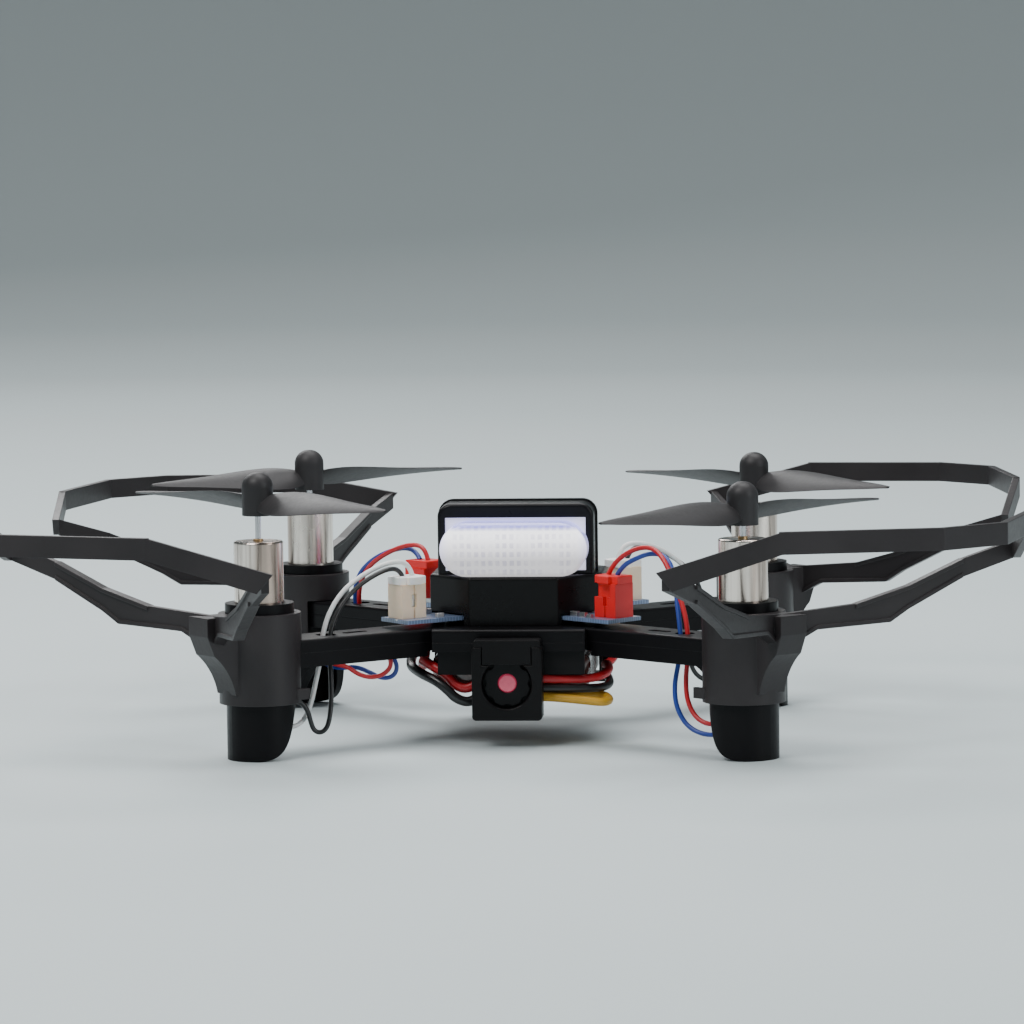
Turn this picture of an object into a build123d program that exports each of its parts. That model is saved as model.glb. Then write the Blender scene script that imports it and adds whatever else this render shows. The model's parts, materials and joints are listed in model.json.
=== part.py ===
from build123d import *

"""Small racing quadcopter with clip-on guards, headlamp and forward camera.

Millimetres.  X points to the craft's right, Y to its back and Z up.  The origin
is on the ground under the middle of the craft, which stands on its four legs.
"""
import os
from math import atan2, cos, degrees, pi, radians, sin, tan

os.makedirs("parts", exist_ok=True)

# ---------------------------------------------------------------- driving sizes
MOTOR_X = 41.5            # motor axes, from the middle of the craft
MOTOR_Y = 35.0
CAN_R = 4.25              # 8520 coreless motor, 8.5 mm across and 20 mm long
CAN_LENGTH = 20.0
CAN_WALL = 0.4
CAN_BOTTOM = 17.5
CAN_TOP = CAN_BOTTOM + CAN_LENGTH
SHAFT_R = 0.5
RUNNING_GAP = 0.02        # shaft in its bush and end cap, on the radius

TUBE_R = 5.95             # motor tube, whose lower end is the leg
TUBE_TOP = 26.9
BORE_GAP = 0.03
LEDGE_R = 3.3
LEDGE_THICK = 1.0
CHAMBER_R = 4.5
FOOT_CUT = [(4.8, 0), (-2.4, 4.0), (-4.5, 9.2), (-8.0, 13.4)]   # scoop, outward and up

ARM_WIDTH = 9.0
ARM_BOTTOM = 15.5
PLATE_BOTTOM = 16.4
ARM_STEP = 22.5           # the arms are deeper outside this radius
SEAM = 18.0               # the lower shell and the upper cover meet here
COVER_TOP = 20.3
PLATE_HALF_X = 13.4
PLATE_HALF_Y = 20.0
WAIST_HALF_X = 15.8
WAIST_HALF_Y = 12.5
WIRE_HOLE_R = 1.75
WIRE_HOLE_IN = 13.5       # from the motor axis, along the arm
EAR_X = 17.1              # lugs under the waist that take the battery and camera leads
EAR_Y = -2.0
EAR_HOLE_R = 2.3
EAR_CEILING = 17.2
LUG_INNER = 14.6
LUG_OUTER = 19.8
LUG_HALF = 3.2

COLLAR_R = 7.15           # guard collar, pushed over the motor tube
COLLAR_GAP = 0.05
COLLAR_BOTTOM = 9.7
COLLAR_TOP = 25.2
SLOT_HALF = 5.3
BAND_THICK = 1.3
BAND_HEIGHT = 3.6
BAND_TOP = 41.7
TIP_TOP = 36.2
GUARD_TURN = {"front_left": -3.2, "front_right": -1.3, "back_left": -0.1, "back_right": -1.1}
GUARD_LIFT = {"front_left": 0.7, "front_right": 1.2, "back_left": -1.8, "back_right": -0.2}

HUB_R = 2.7               # two-blade propeller, 65 mm across
HUB_HEIGHT = 7.4
HUB_BASE = {"front_left": 41.9, "front_right": 39.8, "back_left": 40.7, "back_right": 39.7}
BLADE_ANGLE = {"front_left": -41.0, "front_right": 45.0, "back_left": 34.0, "back_right": -40.0}
TURNS_LEFT = {"front_left": 1, "front_right": -1, "back_left": -1, "back_right": 1}

BOARD_BOTTOM = 21.25
BOARD_TOP = 21.95
EAR_REACH = 26.4
EAR_WIDTH = 8.4
HEADER_AT = (23.3, 0.6)   # along the arm and across it
HEADER_SIZE = (5.0, 4.5, 6.0)
PLUG_RISE = 1.4
PIN_PITCH = 2.0
PIN_SIZE = 0.5

BODY_X = 0.5              # housing, hoop and lamp sit this far to the right
HOUSING_HALF_X = 15.4
HOUSING_HALF_Y = 14.0
HOUSING_CUT = 7.6
HOUSING_TOP = 28.9
HOUSING_WALL = 1.2
EAR_CLEARANCE = 0.35

HOOP_HALF_X = 13.85
HOOP_TOP = 41.4
HOOP_FRONT = -8.0
HOOP_DEPTH = 7.0
HOOP_LEG = 1.4
HOOP_BAR = 2.5
HOOP_SILL = 0.6
RIB_PROUD = 0.35
RIB_WIDTH = 1.0

LENS_LENGTH = 26.0
LENS_HEIGHT = 9.5
LENS_FRONT = -14.2
LENS_Z = HOUSING_TOP + LENS_HEIGHT / 2 + 0.02

CASE_HALF = 6.1
CASE_BOTTOM = 4.9
CASE_TOP = 17.8
CASE_FRONT = -24.6
CASE_BACK = -20.1
FOCUS_Z = 11.3
FOCUS_R = 4.05

PACK_HALF_X = 13.9
PACK_FRONT = -15.6
PACK_BACK = 19.6
PACK_BOTTOM = 9.3
PACK_TOP = 15.5

MOTOR_LEAD = 0.85         # outer diameters of the wires
BATTERY_LEAD = 1.75
CAMERA_LEAD = 1.5

CORNERS = {"front_left": (-1, -1), "front_right": (1, -1), "back_left": (-1, 1), "back_right": (1, 1)}
MOTOR_RADIUS = (MOTOR_X ** 2 + MOTOR_Y ** 2) ** 0.5


# ---------------------------------------------------------------- helpers
def finish(piece, name):
    """Label a finished piece and write it as one STEP file."""
    piece.part.label = name
    export_step(piece.part, f"parts/{name}.step")


def motor_at(corner):
    side, end = CORNERS[corner]
    return side * MOTOR_X, end * MOTOR_Y


def arm_direction(corner):
    x, y = motor_at(corner)
    return x / MOTOR_RADIUS, y / MOTOR_RADIUS


def level_plane(x, y, height, angle):
    """A level plane whose x axis points along the given compass angle."""
    heading = radians(angle)
    return Plane(origin=(x, y, height), x_dir=(cos(heading), sin(heading), 0), z_dir=(0, 0, 1))


def upright_plane(x, y, angle):
    """An upright plane through a point: its x axis is level, its y axis is up."""
    heading = radians(angle)
    return Plane(origin=(x, y, 0), x_dir=(cos(heading), sin(heading), 0),
                 z_dir=(sin(heading), -cos(heading), 0))


def arm_angle(corner):
    x, y = arm_direction(corner)
    return degrees(atan2(y, x))


def arm_plane(corner, height):
    """Level plane from the middle of the craft along one arm."""
    return level_plane(0, 0, height, arm_angle(corner))


def motor_plane(corner, height):
    x, y = motor_at(corner)
    return level_plane(x, y, height, arm_angle(corner))


def guard_angle(corner):
    side, end = CORNERS[corner]
    return degrees(atan2(end, side)) + GUARD_TURN[corner]


def bar(low, high):
    """A box between two opposite corners, added to the part being built."""
    size = [b - a for a, b in zip(low, high)]
    middle = [(a + b) / 2 for a, b in zip(low, high)]
    with Locations(tuple(middle)):
        Box(*size)


def lead(name, points, diameter):
    """A round wire along straight runs joined by tangent arcs."""
    corners = [Vector(*p) for p in points]
    radii = []
    for before, here, after in zip(corners, corners[1:], corners[2:]):
        run_in = here - before
        run_out = after - here
        half_turn = radians(run_in.get_angle(run_out)) / 2
        radii.append(0.45 * min(run_in.length, run_out.length) / tan(half_turn))
    with BuildPart() as wire:
        with BuildLine() as route:
            FilletPolyline(*points, radius=radii)
        path = route.wires()[0]
        with BuildSketch(Plane(origin=path @ 0, z_dir=path % 0)):
            Circle(diameter / 2)
        sweep(path=path)
    finish(wire, name)
    section = pi * diameter ** 2 / 4
    print(f"{name}: length {path.length:.1f} mm, radii from {min(radii):.1f} mm "
          f"({min(radii) / diameter:.1f} diameters), volume ratio "
          f"{wire.part.volume / (section * path.length):.3f}")


# ---------------------------------------------------------------- frame
def plate_outline():
    """The centre plate of the frame, wider at its waist, in the current sketch."""
    Rectangle(2 * PLATE_HALF_X, 2 * PLATE_HALF_Y)
    Rectangle(2 * WAIST_HALF_X, 2 * WAIST_HALF_Y)


ARM_ROOT = 8.0
SCREW_PLACES = [(10.5, 9.5), (-10.5, 9.5), (10.5, -9.5), (-10.5, -9.5)]
YELLOW_HOLE = (4.2, -16.7)
YELLOW_HOLE_R = 1.2
SCREW_R = 0.7
SCREW_HEAD_R = 1.3
SCREW_HEAD = 0.8

with BuildPart() as chassis:
    with BuildSketch(Plane.XY.offset(PLATE_BOTTOM)):
        plate_outline()
    extrude(amount=SEAM - PLATE_BOTTOM)
    for corner in CORNERS:
        for inner_end, bottom in ((ARM_ROOT, PLATE_BOTTOM), (ARM_STEP, ARM_BOTTOM)):
            with BuildSketch(arm_plane(corner, bottom)):
                with Locations(((inner_end + MOTOR_RADIUS) / 2, 0)):
                    Rectangle(MOTOR_RADIUS - inner_end, ARM_WIDTH)
            extrude(amount=SEAM - bottom)
        with BuildSketch(motor_plane(corner, 0)):
            Circle(TUBE_R)
        extrude(amount=TUBE_TOP)
        # the arm arches down into the tube
        with BuildSketch(upright_plane(*motor_at(corner), arm_angle(corner))):
            with BuildLine():
                Line((-TUBE_R + 1, ARM_BOTTOM + 0.5), (-TUBE_R - 5, ARM_BOTTOM + 0.5))
                Line((-TUBE_R - 5, ARM_BOTTOM + 0.5), (-TUBE_R - 5, ARM_BOTTOM))
                RadiusArc((-TUBE_R - 5, ARM_BOTTOM), (-TUBE_R - 0.1, 11.2), 5.5)
                Line((-TUBE_R - 0.1, 11.2), (-TUBE_R + 1, 11.2))
                Line((-TUBE_R + 1, 11.2), (-TUBE_R + 1, ARM_BOTTOM + 0.5))
            make_face()
        extrude(amount=2.0, both=True)
    for corner in CORNERS:
        ledge_bottom = CAN_BOTTOM - LEDGE_THICK
        with BuildSketch(motor_plane(corner, CAN_BOTTOM)):
            Circle(CAN_R + BORE_GAP)
        extrude(amount=TUBE_TOP - CAN_BOTTOM, mode=Mode.SUBTRACT)
        with BuildSketch(motor_plane(corner, ledge_bottom)):
            Circle(LEDGE_R)
        extrude(amount=LEDGE_THICK, mode=Mode.SUBTRACT)
        with BuildSketch(motor_plane(corner, 0)):
            Circle(CHAMBER_R)
        extrude(amount=ledge_bottom, mode=Mode.SUBTRACT)
        # scooped foot, open towards the middle of the craft
        with BuildSketch(upright_plane(*motor_at(corner), arm_angle(corner))):
            with BuildLine():
                Spline(*FOOT_CUT)
                Polyline(FOOT_CUT[-1], (FOOT_CUT[-1][0], -1), (FOOT_CUT[0][0], -1), FOOT_CUT[0])
            make_face()
        extrude(amount=TUBE_R + 1, both=True, mode=Mode.SUBTRACT)
        with BuildSketch(arm_plane(corner, ARM_BOTTOM)):
            with Locations((MOTOR_RADIUS - WIRE_HOLE_IN, 0)):
                Circle(WIRE_HOLE_R)
        extrude(amount=SEAM - ARM_BOTTOM, mode=Mode.SUBTRACT)
    with BuildSketch(Plane.XY.offset(ARM_BOTTOM)):
        with Locations(YELLOW_HOLE):
            Circle(YELLOW_HOLE_R)
        with Locations(*SCREW_PLACES):
            Circle(SCREW_R)
    extrude(amount=SEAM - ARM_BOTTOM, mode=Mode.SUBTRACT)
    # lugs under the waist with blind holes for the battery and camera leads
    for side in (1, -1):
        near, far = sorted((side * LUG_INNER, side * LUG_OUTER))
        bar((near, EAR_Y - LUG_HALF, ARM_BOTTOM + 0.4), (far, EAR_Y + LUG_HALF, SEAM))
    with BuildSketch(Plane.XY.offset(ARM_BOTTOM)):
        with Locations((EAR_X, EAR_Y), (-EAR_X, EAR_Y)):
            Circle(EAR_HOLE_R)
    extrude(amount=EAR_CEILING - ARM_BOTTOM, mode=Mode.SUBTRACT)
finish(chassis, "frame_chassis")

SLOT_IN = 19.5
SLOT_SIZE = (5.0, 1.6)
STANDOFF_R = 1.3

with BuildPart() as cover:
    with BuildSketch(Plane.XY.offset(SEAM)):
        plate_outline()
    extrude(amount=COVER_TOP - SEAM)
    for corner in CORNERS:
        with BuildSketch(arm_plane(corner, SEAM)):
            with Locations(((ARM_ROOT + MOTOR_RADIUS) / 2, 0)):
                Rectangle(MOTOR_RADIUS - ARM_ROOT, ARM_WIDTH)
        extrude(amount=COVER_TOP - SEAM)
    for corner in CORNERS:
        with BuildSketch(motor_plane(corner, SEAM)):
            Circle(TUBE_R + COLLAR_GAP)
        extrude(amount=COVER_TOP - SEAM, mode=Mode.SUBTRACT)
        with BuildSketch(arm_plane(corner, SEAM)):
            with Locations((MOTOR_RADIUS - WIRE_HOLE_IN, 0)):
                Circle(WIRE_HOLE_R)
            with Locations((MOTOR_RADIUS - SLOT_IN, 0)):
                SlotOverall(*SLOT_SIZE)
        extrude(amount=COVER_TOP - SEAM, mode=Mode.SUBTRACT)
    with BuildSketch(Plane.XY.offset(COVER_TOP)):
        with Locations(*SCREW_PLACES):
            Circle(STANDOFF_R)
    extrude(amount=BOARD_BOTTOM - COVER_TOP)
    top_rim = cover.faces().filter_by(Axis.Z).group_by(Axis.Z)[-2].edges().filter_by(GeomType.LINE)
    fillet(top_rim.filter_by(lambda e: e.length > 6), radius=0.5)
finish(cover, "frame_cover")

with BuildPart() as screws:
    with BuildSketch(Plane.XY.offset(PLATE_BOTTOM - SCREW_HEAD)):
        with Locations(*SCREW_PLACES):
            Circle(SCREW_HEAD_R)
            RegularPolygon(0.45, 6, mode=Mode.SUBTRACT)
    extrude(amount=SCREW_HEAD)
    with BuildSketch(Plane.XY.offset(PLATE_BOTTOM)):
        with Locations(*SCREW_PLACES):
            Circle(SCREW_R - 0.02)
    extrude(amount=SEAM - PLATE_BOTTOM)
finish(screws, "frame_screws")


# ---------------------------------------------------------------- prop guards
STRUT_START = (9.6, 1.4)          # outward of the motor axis, and to each side
STRUT_END = (25.2, 39.4)
LIP = 0.7
LIP_REACH = 1.0
BAND_POINTS = [(24.5, 40.6, TIP_TOP, 3.0), (40.6, 27.9, BAND_TOP, BAND_HEIGHT),
               (55.3, 6.9, BAND_TOP + 0.2, BAND_HEIGHT)]


def band_corners(lift):
    """Corners of the band from one tip round to the other: out, across, top, bottom."""
    half = []
    for index, (out, across, top, height) in enumerate(BAND_POINTS):
        rise = lift if index else 0
        half.append((out, across, top + rise, top + rise - height))
    other = [(out, -across, top, bottom) for out, across, top, bottom in reversed(half)]
    return half + other


def guard(corner):
    mx, my = motor_at(corner)
    angle = guard_angle(corner)
    turn = level_plane(mx, my, 0, angle)

    def place(out, across):
        spot = turn.from_local_coords(Vector(out, across, 0))
        return spot.X, spot.Y

    with BuildPart() as piece:
        with BuildSketch(Plane.XY.offset(COLLAR_BOTTOM)):
            with Locations((mx, my)):
                Circle(COLLAR_R)
        extrude(amount=COLLAR_TOP - COLLAR_BOTTOM)
        # boss that carries both struts
        with BuildSketch(upright_plane(mx, my, angle)):
            with BuildLine():
                Polyline((5.5, COLLAR_TOP), (12.6, COLLAR_TOP), (12.6, 22.0), (11.2, 18.6))
                RadiusArc((11.2, 18.6), (7.0, 11.6), -12)
                Polyline((7.0, 11.6), (5.5, 11.6), (5.5, COLLAR_TOP))
            make_face()
        extrude(amount=2.9, both=True)
        for hand in (1, -1):
            sx, sy = place(STRUT_START[0], hand * STRUT_START[1])
            ex, ey = place(STRUT_END[0], hand * STRUT_END[1])
            length = ((ex - sx) ** 2 + (ey - sy) ** 2) ** 0.5
            heading = degrees(atan2(ey - sy, ex - sx))
            top = [(-1.5, 25.2), (12, 26.4), (21.5, 29.1), (31.5, 33.3), (length, TIP_TOP)]
            low = [(length, TIP_TOP - 3), (31.5, 30.2), (21.5, 25.2), (18.2, 23.1), (5, 22.4), (-1.5, 19.0)]
            with BuildSketch(upright_plane(sx, sy, heading)):
                with BuildLine():
                    Polyline(*top, *low, close=True)
                make_face()
            extrude(amount=BAND_THICK / 2, both=True)
            # stiffening lips along the strut's upper and lower edges
            for edge, drop in ((top[1:4], -LIP), (low[1:], LIP)):
                back = [(s, z + drop) for s, z in reversed(edge)]
                with BuildSketch(upright_plane(sx, sy, heading)):
                    with BuildLine():
                        Polyline(*edge, *back, close=True)
                    make_face()
                extrude(amount=LIP_REACH, both=True)
        rim = band_corners(GUARD_LIFT[corner])
        for first, second in zip(rim, rim[1:]):
            ax, ay = place(first[0], first[1])
            bx, by = place(second[0], second[1])
            length = ((bx - ax) ** 2 + (by - ay) ** 2) ** 0.5
            heading = degrees(atan2(by - ay, bx - ax))
            near = 2.6 if first is rim[0] else 0      # the tips are cut back below
            far = 2.6 if second is rim[-1] else 0
            with BuildSketch(upright_plane(ax, ay, heading)):
                with BuildLine():
                    Polyline((0, first[2]), (length, second[2]), (length - far, second[3]),
                             (near, first[3]), close=True)
                make_face()
            extrude(amount=BAND_THICK / 2, both=True)
        for out, across, high, low_z in rim[1:-1]:
            with BuildSketch(Plane.XY.offset(low_z)):
                with Locations(place(out, across)):
                    Circle(BAND_THICK / 2)
            extrude(amount=high - low_z)
        # bore for the motor tube and slot for the arm
        with BuildSketch(Plane.XY.offset(COLLAR_BOTTOM - 1)):
            with Locations((mx, my)):
                Circle(TUBE_R + COLLAR_GAP)
        extrude(amount=COLLAR_TOP - COLLAR_BOTTOM + 2, mode=Mode.SUBTRACT)
        with BuildSketch(motor_plane(corner, COLLAR_BOTTOM - 1)):
            with Locations((-5, 0)):
                Rectangle(10, 2 * SLOT_HALF)
        extrude(amount=COVER_TOP + 0.1 - COLLAR_BOTTOM + 1, mode=Mode.SUBTRACT)
        # two clip lips beside the slot
        for hand in (1, -1):
            with BuildSketch(motor_plane(corner, COLLAR_BOTTOM + 0.6)):
                with Locations((-4.7, hand * (SLOT_HALF + 0.55))):
                    SlotOverall(3.0, 1.1)
            extrude(amount=1.8)
    finish(piece, f"guard_{corner}")


for corner in CORNERS:
    guard(corner)


# ---------------------------------------------------------------- motors
COIL_R = 3.3
COIL_INNER_R = 2.95
COIL_BOTTOM = 19.6
COIL_FLOOR = 1.2
COIL_LENGTH = 14.4
CAP_THICK = 1.4
MAGNET_R = 2.6
MAGNET_BORE_R = 0.75
MAGNET_BOTTOM = 21.5
BUSH_R = 0.85
BUSH_RISE = 0.35
BUSH_BOTTOM = 35.5
SHAFT_BOTTOM = 17.9
SHAFT_IN_HUB = 5.0

for corner in CORNERS:
    with BuildPart() as can:
        with BuildSketch(motor_plane(corner, CAN_BOTTOM)):
            Circle(CAN_R)
        extrude(amount=CAN_LENGTH)
        fillet(can.edges().group_by(Axis.Z)[-1], radius=0.35)
        with BuildSketch(motor_plane(corner, CAN_BOTTOM)):
            Circle(CAN_R - CAN_WALL)
        extrude(amount=CAN_LENGTH - CAN_WALL, mode=Mode.SUBTRACT)
        with BuildSketch(motor_plane(corner, CAN_BOTTOM)):
            Circle(BUSH_R)
        extrude(amount=CAN_LENGTH, mode=Mode.SUBTRACT)
    finish(can, f"motor_can_{corner}")

with BuildPart() as end_caps:
    for corner in CORNERS:
        with BuildSketch(motor_plane(corner, CAN_BOTTOM)):
            Circle(CAN_R - CAN_WALL)
            Circle(SHAFT_R + RUNNING_GAP, mode=Mode.SUBTRACT)
        extrude(amount=CAP_THICK)
finish(end_caps, "motor_end_caps")

with BuildPart() as bushes:
    for corner in CORNERS:
        with BuildSketch(motor_plane(corner, BUSH_BOTTOM)):
            Circle(BUSH_R)
            Circle(SHAFT_R + RUNNING_GAP, mode=Mode.SUBTRACT)
        extrude(amount=CAN_TOP + BUSH_RISE - BUSH_BOTTOM)
finish(bushes, "motor_bushes")

with BuildPart() as magnets:
    for corner in CORNERS:
        with BuildSketch(motor_plane(corner, MAGNET_BOTTOM)):
            Circle(MAGNET_R)
            Circle(MAGNET_BORE_R, mode=Mode.SUBTRACT)
        extrude(amount=BUSH_BOTTOM - MAGNET_BOTTOM)
        with BuildSketch(motor_plane(corner, BUSH_BOTTOM)):
            Circle(MAGNET_R)
            Circle(BUSH_R, mode=Mode.SUBTRACT)
        extrude(amount=CAN_TOP - CAN_WALL - BUSH_BOTTOM)
finish(magnets, "motor_magnets")

for corner in CORNERS:
    with BuildPart() as rotor:
        with BuildSketch(motor_plane(corner, SHAFT_BOTTOM)):
            Circle(SHAFT_R)
        extrude(amount=HUB_BASE[corner] + SHAFT_IN_HUB - SHAFT_BOTTOM)
        with BuildSketch(motor_plane(corner, COIL_BOTTOM)):
            Circle(COIL_R)
        extrude(amount=COIL_FLOOR)
        with BuildSketch(motor_plane(corner, COIL_BOTTOM + COIL_FLOOR)):
            Circle(COIL_R)
            Circle(COIL_INNER_R, mode=Mode.SUBTRACT)
        extrude(amount=COIL_LENGTH)
    finish(rotor, f"motor_rotor_{corner}")


# ---------------------------------------------------------------- propellers
# radius, chord, pitch in degrees and thickness of each blade section
BLADE_SECTIONS = [(1.8, 4.4, 34, 1.3), (6.0, 7.4, 29, 1.1), (11.0, 8.3, 23, 0.95), (18.0, 7.0, 17, 0.8),
                  (25.0, 4.9, 13, 0.7), (30.0, 2.8, 11, 0.55), (32.3, 1.0, 10, 0.4)]
BLADE_MIDDLE = 2.3


def blade(corner, heading):
    """Sections of one twisted blade, from the hub outward."""
    mx, my = motor_at(corner)
    spin = TURNS_LEFT[corner]
    out = (cos(radians(heading)), sin(radians(heading)))
    height = HUB_BASE[corner] + BLADE_MIDDLE
    sections = []
    for radius, chord, pitch, thick in BLADE_SECTIONS:
        flat = spin * cos(radians(pitch))
        section = Plane(origin=(mx + radius * out[0], my + radius * out[1], height),
                        x_dir=(-flat * out[1], flat * out[0], sin(radians(pitch))),
                        z_dir=(out[0], out[1], 0))
        camber = spin * (0.05 * chord + thick / 2)
        under = spin * (0.05 * chord - thick / 2)
        with BuildSketch(section) as profile:
            with BuildLine():
                ThreePointArc((-chord / 2, 0), (0, camber), (chord / 2, 0))
                ThreePointArc((chord / 2, 0), (0, under), (-chord / 2, 0))
            make_face()
        sections.append(profile.sketch.face())
    return sections


for corner in CORNERS:
    base = HUB_BASE[corner]
    with BuildPart() as propeller:
        for half_turn in (0, 180):
            loft(sections=blade(corner, BLADE_ANGLE[corner] + half_turn))
        with BuildSketch(motor_plane(corner, base)):
            Circle(HUB_R)
        extrude(amount=HUB_HEIGHT)
        fillet(propeller.edges().filter_by(GeomType.CIRCLE).group_by(Axis.Z)[-1], radius=HUB_R - 0.15)
        with BuildSketch(motor_plane(corner, base)):
            Circle(SHAFT_R)
        extrude(amount=SHAFT_IN_HUB, mode=Mode.SUBTRACT)
    finish(propeller, f"propeller_{corner}")


# ---------------------------------------------------------------- flight board
def header_plane(corner, height):
    """Level plane centred on one corner's motor socket."""
    side, end = CORNERS[corner]
    plane = arm_plane(corner, height)
    across = HEADER_AT[1] * side * -end
    middle = plane.from_local_coords(Vector(HEADER_AT[0], across, 0))
    return level_plane(middle.X, middle.Y, height, arm_angle(corner))


def pin_squares():
    """The two square pins of a motor socket, in the current sketch."""
    with Locations((-PIN_PITCH / 2, 0), (PIN_PITCH / 2, 0)):
        Rectangle(PIN_SIZE, PIN_SIZE)


with BuildPart() as board:
    with BuildSketch(Plane.XY.offset(BOARD_BOTTOM)):
        Rectangle(27.0, 24.0)
        for corner in CORNERS:
            with Locations(Rotation(0, 0, arm_angle(corner))):
                with Locations((EAR_REACH / 2, 0)):
                    Rectangle(EAR_REACH, EAR_WIDTH)
    extrude(amount=BOARD_TOP - BOARD_BOTTOM)
    for corner in CORNERS:
        with BuildSketch(header_plane(corner, BOARD_BOTTOM)):
            pin_squares()
        extrude(amount=BOARD_TOP - BOARD_BOTTOM, mode=Mode.SUBTRACT)
finish(board, "flight_board")

CHIPS = [(0, 0, 7.0, 7.0, 1.0), (-8.5, 2.0, 4.0, 4.0, 0.9), (8.0, 4.0, 5.0, 3.2, 0.9), (0, 9.0, 9.0, 6.0, 1.6),
         (-7.5, -6.0, 3.0, 1.6, 0.8), (7.5, -6.0, 3.0, 1.6, 0.8)]
EAR_PARTS = [(19.3, -3.0, 1.4, 0.8), (21.2, -3.3, 1.0, 0.6), (17.4, -3.1, 1.6, 0.9), (19.0, 3.2, 1.4, 0.8)]

with BuildPart() as board_parts:
    for x, y, wide, deep, high in CHIPS:
        bar((x - wide / 2, y - deep / 2, BOARD_TOP), (x + wide / 2, y + deep / 2, BOARD_TOP + high))
    for corner in CORNERS:
        for along, across, wide, high in EAR_PARTS:
            with BuildSketch(arm_plane(corner, BOARD_TOP)):
                with Locations((along, across)):
                    Rectangle(wide, 0.8)
            extrude(amount=high)
finish(board_parts, "board_parts")


def window_side(corner):
    """The side of the socket that faces the front or the back of the craft."""
    side, end = CORNERS[corner]
    return side * end


HEADER_TOP = BOARD_TOP + HEADER_SIZE[2]
LATCHED = ("front_right", "back_left")
LATCH_DEPTH = 2.4
for corner in CORNERS:
    facing = window_side(corner)
    with BuildPart() as header:
        with BuildSketch(header_plane(corner, BOARD_TOP)):
            Rectangle(HEADER_SIZE[0], HEADER_SIZE[1])
        extrude(amount=HEADER_SIZE[2])
        with BuildSketch(header_plane(corner, BOARD_TOP + 1.4)):
            Rectangle(HEADER_SIZE[0] - 1.4, HEADER_SIZE[1] - 1.4)
        extrude(amount=HEADER_SIZE[2], mode=Mode.SUBTRACT)
        # latch window and groove
        with BuildSketch(header_plane(corner, BOARD_TOP + 2.0)):
            with Locations((0, facing * HEADER_SIZE[1] / 2)):
                Rectangle(1.0, 2.0)
        extrude(amount=2.2, mode=Mode.SUBTRACT)
        with BuildSketch(header_plane(corner, BOARD_TOP)):
            with Locations((0, facing * HEADER_SIZE[1] / 2)):
                Rectangle(0.4, 0.5)
        extrude(amount=HEADER_SIZE[2], mode=Mode.SUBTRACT)
        if corner in LATCHED:
            # low wall that shows the plug's latch
            with BuildSketch(header_plane(corner, HEADER_TOP - LATCH_DEPTH)):
                with Locations((-0.7, facing * HEADER_SIZE[1] / 2)):
                    Rectangle(HEADER_SIZE[0] - 1.4, 2.0)
            extrude(amount=LATCH_DEPTH, mode=Mode.SUBTRACT)
        with BuildSketch(header_plane(corner, BOARD_TOP)):
            pin_squares()
        extrude(amount=HEADER_SIZE[2], mode=Mode.SUBTRACT)
    finish(header, f"socket_{corner}")
    with BuildPart() as plug:
        with BuildSketch(header_plane(corner, BOARD_TOP + 1.5)):
            Rectangle(HEADER_SIZE[0] - 1.5, HEADER_SIZE[1] - 1.5)
            with Locations((-PIN_PITCH / 2, 0), (PIN_PITCH / 2, 0)):
                Rectangle(0.52, 0.52, mode=Mode.SUBTRACT)
        extrude(amount=HEADER_SIZE[2] - 1.5)
        with BuildSketch(header_plane(corner, HEADER_TOP)):
            Rectangle(HEADER_SIZE[0] + 0.5, HEADER_SIZE[1] - 0.7)
            with Locations((0, facing * 2.1)):
                Rectangle(2.6, 1.4)
        extrude(amount=PLUG_RISE)
        fillet(plug.edges().group_by(Axis.Z)[-1], radius=0.25)
    finish(plug, f"plug_{corner}")

with BuildPart() as pins:
    for corner in CORNERS:
        with BuildSketch(header_plane(corner, BOARD_BOTTOM - 0.4)):
            pin_squares()
        extrude(amount=HEADER_TOP - 0.2 - BOARD_BOTTOM)
finish(pins, "socket_pins")


# ---------------------------------------------------------------- housing, hoop and lamp
with BuildPart() as housing:
    with BuildSketch(Plane((BODY_X, 0, COVER_TOP))) as outer:
        Rectangle(2 * HOUSING_HALF_X, 2 * HOUSING_HALF_Y)
        chamfer(outer.vertices(), length=HOUSING_CUT)
    extrude(amount=HOUSING_TOP - COVER_TOP)
    fillet(housing.edges().filter_by(Axis.Z), radius=0.6)
    fillet(housing.edges().group_by(Axis.Z)[-1], radius=0.6)
    with BuildSketch(Plane((BODY_X, 0, COVER_TOP))) as inner:
        Rectangle(2 * (HOUSING_HALF_X - HOUSING_WALL), 2 * (HOUSING_HALF_Y - HOUSING_WALL))
        chamfer(inner.vertices(), length=HOUSING_CUT - 0.59 * HOUSING_WALL)
    extrude(amount=HOUSING_TOP - HOUSING_WALL - COVER_TOP, mode=Mode.SUBTRACT)
    # openings that let the board's four ears out
    for corner in CORNERS:
        with BuildSketch(arm_plane(corner, COVER_TOP)):
            with Locations((17, 0)):
                Rectangle(14, EAR_WIDTH + 0.6)
        extrude(amount=BOARD_TOP + EAR_CLEARANCE - COVER_TOP, mode=Mode.SUBTRACT)
finish(housing, "housing")

hoop_height = HOOP_TOP - HOUSING_TOP
hoop_middle = (HOOP_TOP + HOUSING_TOP) / 2
window_low = HOUSING_TOP + HOOP_SILL
window_high = HOOP_TOP - HOOP_BAR
hoop_face = Plane(origin=(BODY_X, HOOP_FRONT, 0), x_dir=(1, 0, 0), z_dir=(0, -1, 0))

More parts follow.
